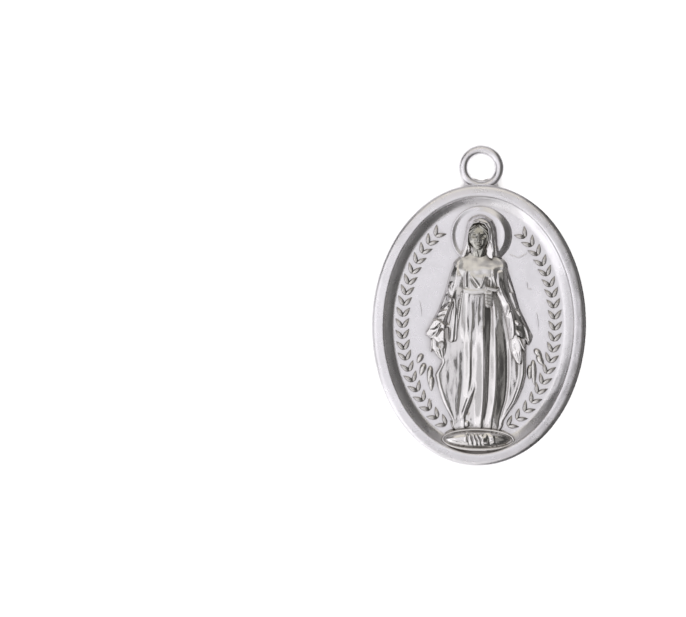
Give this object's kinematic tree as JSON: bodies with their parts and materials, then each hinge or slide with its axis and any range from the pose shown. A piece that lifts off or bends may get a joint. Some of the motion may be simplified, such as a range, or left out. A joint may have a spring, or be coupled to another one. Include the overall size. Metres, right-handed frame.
{
  "type": "religious medal pendant",
  "caption": "Oval metal devotional medal with a standing veiled figure in relief, a dished reverse with a cross, hearts and stars, and a soldered wire hanging ring.",
  "frame": {"origin": "centre of the bounding box in plan, on the plane of the reverse rim's flat land", "axes": "+Z out of the obverse, +Y along the oval towards the hanging ring, +X to the right of the obverse"},
  "size_m": [0.019, 0.0286, 0.0027],
  "materials": {
    "silver_plate": "silver-coloured plate over cast zinc alloy, polished on the relief and rims, finely grained in the fields"
  },
  "bodies": {
    "root": {"medal": "silver_plate"}
  },
  "joints": []
}
